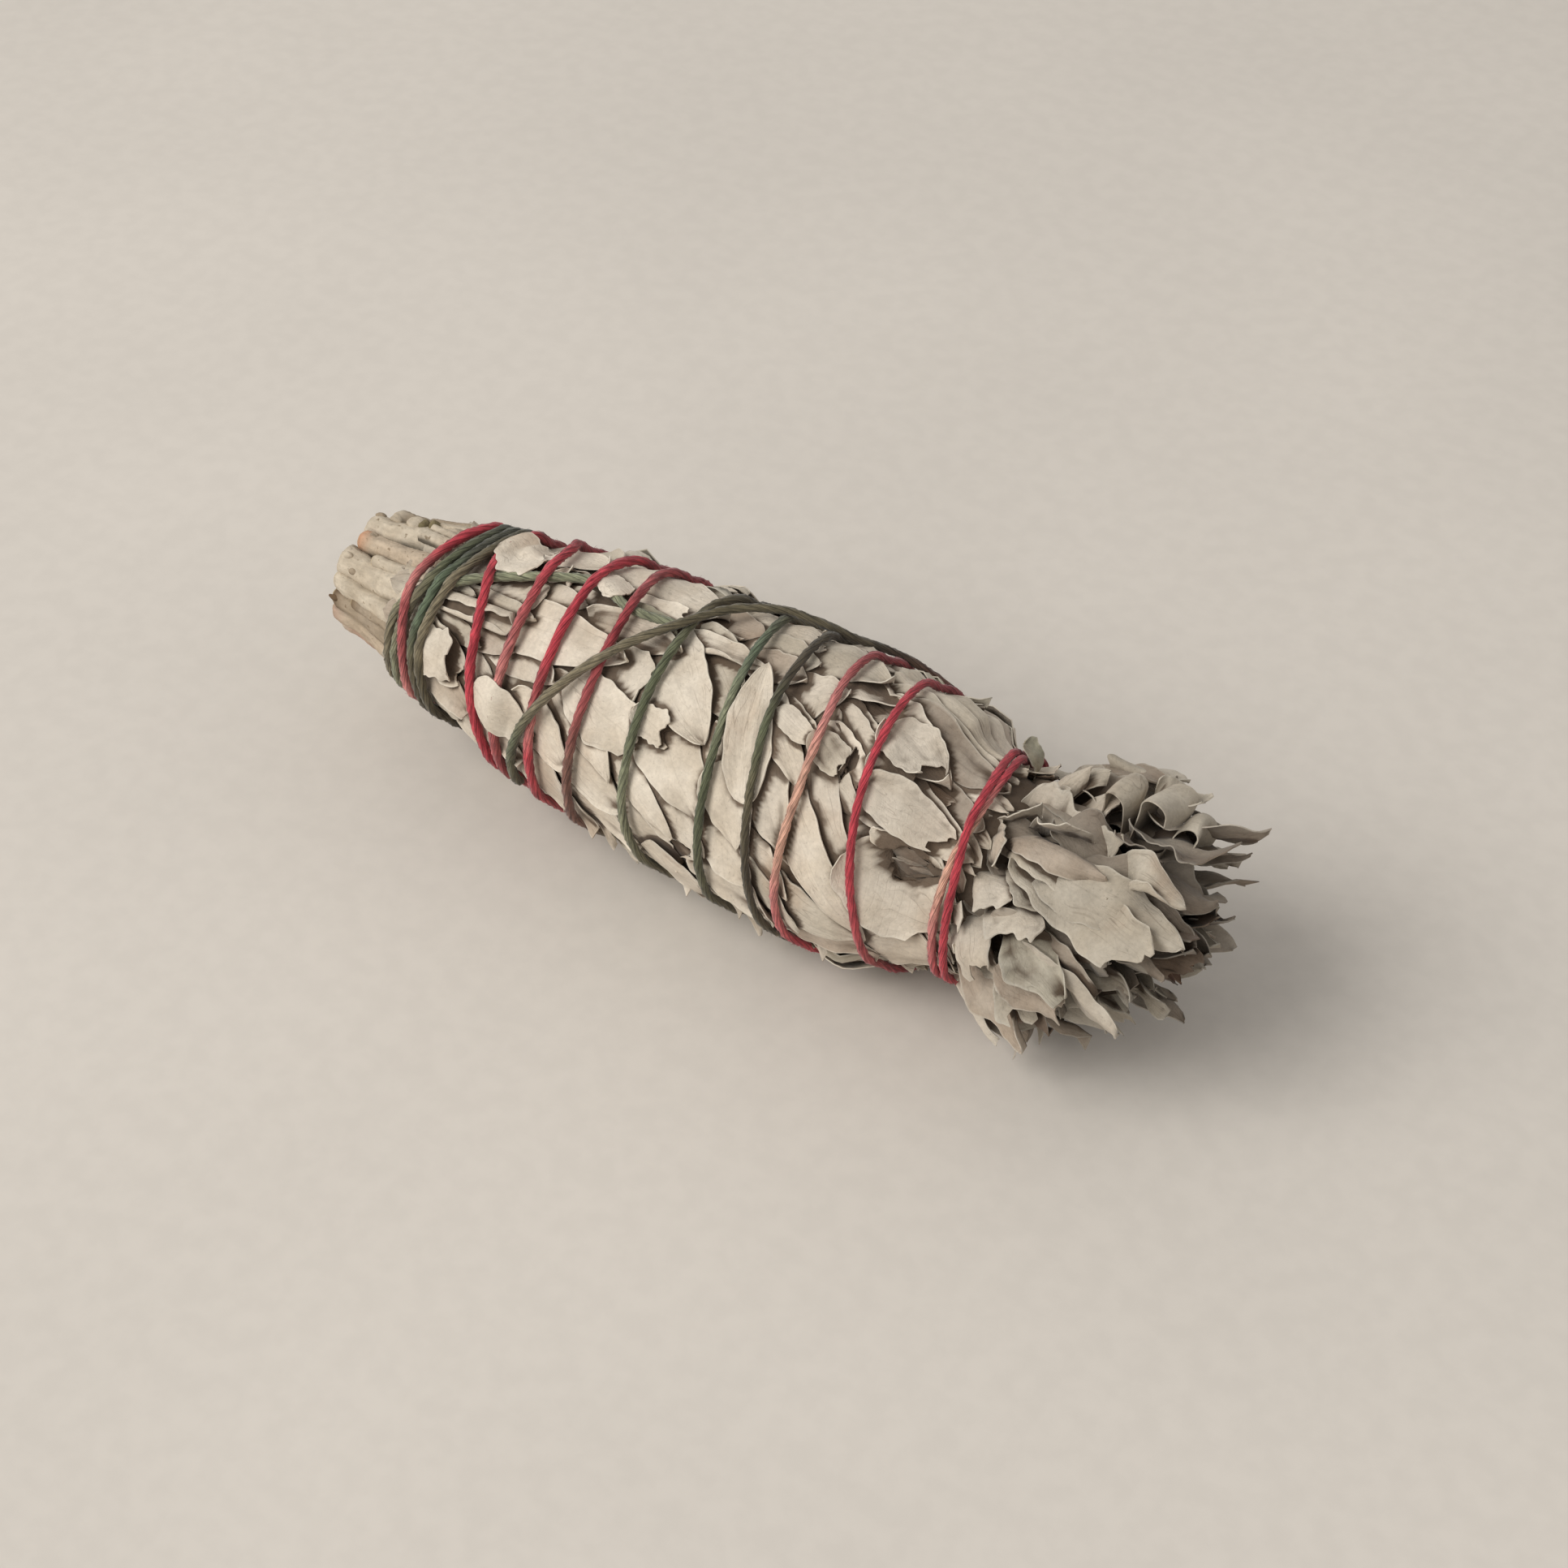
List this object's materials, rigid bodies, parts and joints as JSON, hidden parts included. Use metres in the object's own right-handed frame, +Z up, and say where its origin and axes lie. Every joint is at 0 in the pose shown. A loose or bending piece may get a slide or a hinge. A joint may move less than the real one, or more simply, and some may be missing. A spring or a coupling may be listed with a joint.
{
  "type": "sage bunch",
  "caption": "Dried white sage bundle: cut stems at one end, packed leaves round the middle and flared tips, bound along its length with a variegated thread.",
  "frame": {"origin": "middle of the bundle's length and width, on the surface it lies on", "axes": "+X along the bundle from the cut stems to the leaf tips, +Z up"},
  "size_m": [0.1505, 0.0459, 0.0446],
  "materials": {
    "sage_leaf": "dry, matt and powdery, pale grey-beige with fine mottling",
    "inner_leaf": "dry, matt, darker folded leaf seen in the gaps",
    "cut_stem": "dry bark with a pale cut end",
    "dried_bud": "dry, ochre-brown and rough",
    "dyed_thread": "soft twisted cotton, dyed red, pink, peach and green along its length"
  },
  "bodies": {
    "root": {"packed_leaves": "inner_leaf", "stem_01": "cut_stem", "stem_02": "cut_stem", "stem_03": "cut_stem", "stem_04": "cut_stem", "stem_05": "cut_stem", "stem_06": "cut_stem", "stem_07": "cut_stem", "stem_08": "cut_stem", "stem_09": "cut_stem", "stem_10": "cut_stem", "stem_11": "cut_stem", "stem_12": "cut_stem", "stem_13": "cut_stem", "stem_14": "cut_stem", "body_leaf_01": "sage_leaf", "body_leaf_02": "sage_leaf", "body_leaf_03": "sage_leaf", "body_leaf_04": "sage_leaf", "body_leaf_05": "sage_leaf", "body_leaf_06": "sage_leaf", "body_leaf_07": "sage_leaf", "body_leaf_08": "sage_leaf", "body_leaf_09": "sage_leaf", "body_leaf_10": "sage_leaf", "body_leaf_11": "sage_leaf", "body_leaf_12": "sage_leaf", "body_leaf_13": "sage_leaf", "body_leaf_14": "sage_leaf", "body_leaf_15": "sage_leaf", "body_leaf_16": "sage_leaf", "body_leaf_17": "sage_leaf", "body_leaf_18": "sage_leaf", "body_leaf_19": "sage_leaf", "body_leaf_20": "sage_leaf", "body_leaf_21": "sage_leaf", "body_leaf_22": "sage_leaf", "body_leaf_23": "sage_leaf", "body_leaf_24": "sage_leaf", "body_leaf_25": "sage_leaf", "outer_tip_leaf_01": "sage_leaf", "outer_tip_leaf_02": "sage_leaf", "outer_tip_leaf_03": "sage_leaf", "outer_tip_leaf_04": "sage_leaf", "outer_tip_leaf_05": "sage_leaf", "outer_tip_leaf_06": "sage_leaf", "outer_tip_leaf_07": "sage_leaf", "outer_tip_leaf_08": "sage_leaf", "outer_tip_leaf_09": "sage_leaf", "inner_tip_leaf_01": "sage_leaf", "inner_tip_leaf_02": "sage_leaf", "inner_tip_leaf_03": "sage_leaf", "inner_tip_leaf_04": "sage_leaf", "inner_tip_leaf_05": "sage_leaf", "inner_tip_leaf_06": "sage_leaf", "tip_bud": "dried_bud", "binding_thread": "dyed_thread"}
  },
  "joints": []
}
